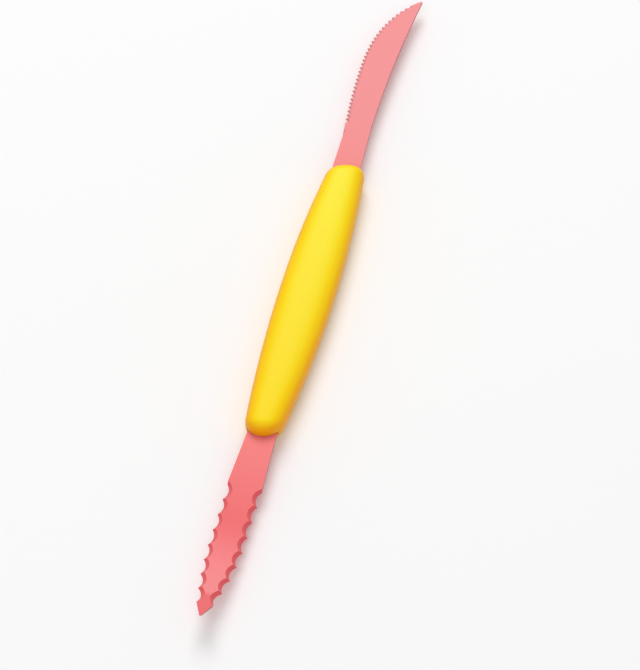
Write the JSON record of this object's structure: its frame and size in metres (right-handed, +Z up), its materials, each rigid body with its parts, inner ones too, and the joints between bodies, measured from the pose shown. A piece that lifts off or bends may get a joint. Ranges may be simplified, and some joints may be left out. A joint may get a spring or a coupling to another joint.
{
  "type": "grapefruit knife",
  "caption": "Double-ended grapefruit knife: oval handle, a broad curved blade with fine teeth at one end and a narrow upturned scalloped blade with an arrowhead tip at the other.",
  "frame": {"origin": "centre of the knife's length and width, on the surface that the belly of its handle lies on", "axes": "+X along the knife to the tip of the curved blade, +Y to the curved blade's cutting edge, +Z up from the surface, out of the blades' ground faces"},
  "size_m": [0.2222, 0.0172, 0.0109],
  "materials": {
    "handle_plastic": "satin gloss",
    "curved_blade_coating": "smooth non-stick coating",
    "serrated_blade_coating": "smooth non-stick coating"
  },
  "bodies": {
    "root": {"handle": "handle_plastic", "curved_blade": "curved_blade_coating", "serrated_blade": "serrated_blade_coating"}
  },
  "joints": []
}
